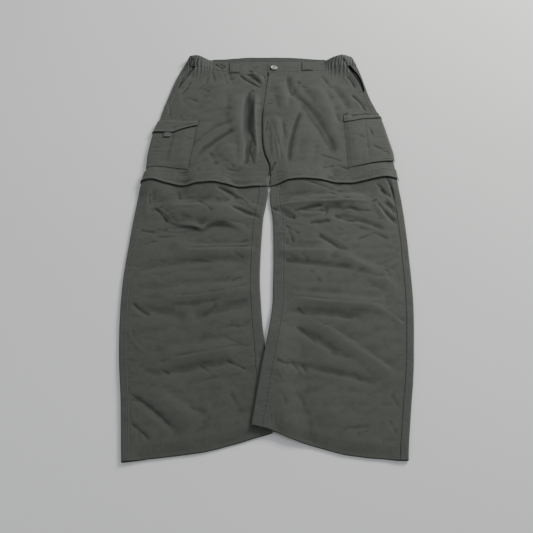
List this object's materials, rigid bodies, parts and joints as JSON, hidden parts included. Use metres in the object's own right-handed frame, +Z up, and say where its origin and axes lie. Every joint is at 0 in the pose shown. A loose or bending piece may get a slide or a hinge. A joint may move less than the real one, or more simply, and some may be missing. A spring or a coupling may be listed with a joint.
{
  "type": "convertible zip-off trousers",
  "caption": "Convertible cargo trousers with zip-off legs, laid flat on their back with the front up and the legs spread a little.",
  "frame": {"origin": "centre of the plan on the surface the trousers lie on", "axes": "+Y towards the waist, +X towards the wearer's left leg (the right-hand side of the picture), +Z up from the front of the trousers"},
  "size_m": [0.547, 1.0496, 0.0161],
  "materials": {
    "nylon_cloth": "plain-woven nylon, dark grey-olive, faint satin sheen",
    "gathered_waist": "the same nylon gathered over elastic",
    "zip_tape": "matt woven tape, near black",
    "button_metal": "pale satin metal"
  },
  "bodies": {
    "root": {"back_left": "nylon_cloth", "back_right": "nylon_cloth", "belt_loop_left": "nylon_cloth", "belt_loop_right": "nylon_cloth", "cargo_flap_left": "nylon_cloth", "cargo_flap_right": "nylon_cloth", "cargo_pocket_left": "nylon_cloth", "cargo_pocket_right": "nylon_cloth", "front_left": "nylon_cloth", "front_right": "nylon_cloth", "leg_back_left": "nylon_cloth", "leg_back_right": "nylon_cloth", "leg_front_left": "nylon_cloth", "leg_front_right": "nylon_cloth", "pocket_facing_left": "nylon_cloth", "pocket_facing_right": "nylon_cloth", "waistband_back": "nylon_cloth", "waistband_front_left": "nylon_cloth", "waistband_front_right": "nylon_cloth", "zip_band_left": "nylon_cloth", "zip_band_right": "nylon_cloth", "waist_elastic_left": "gathered_waist", "waist_elastic_right": "gathered_waist", "flap_tab_left": "zip_tape", "fly_zip": "zip_tape", "zip_back_left": "zip_tape", "zip_back_right": "zip_tape", "zip_front_left": "zip_tape", "zip_front_right": "zip_tape", "waist_button": "button_metal"}
  },
  "joints": []
}
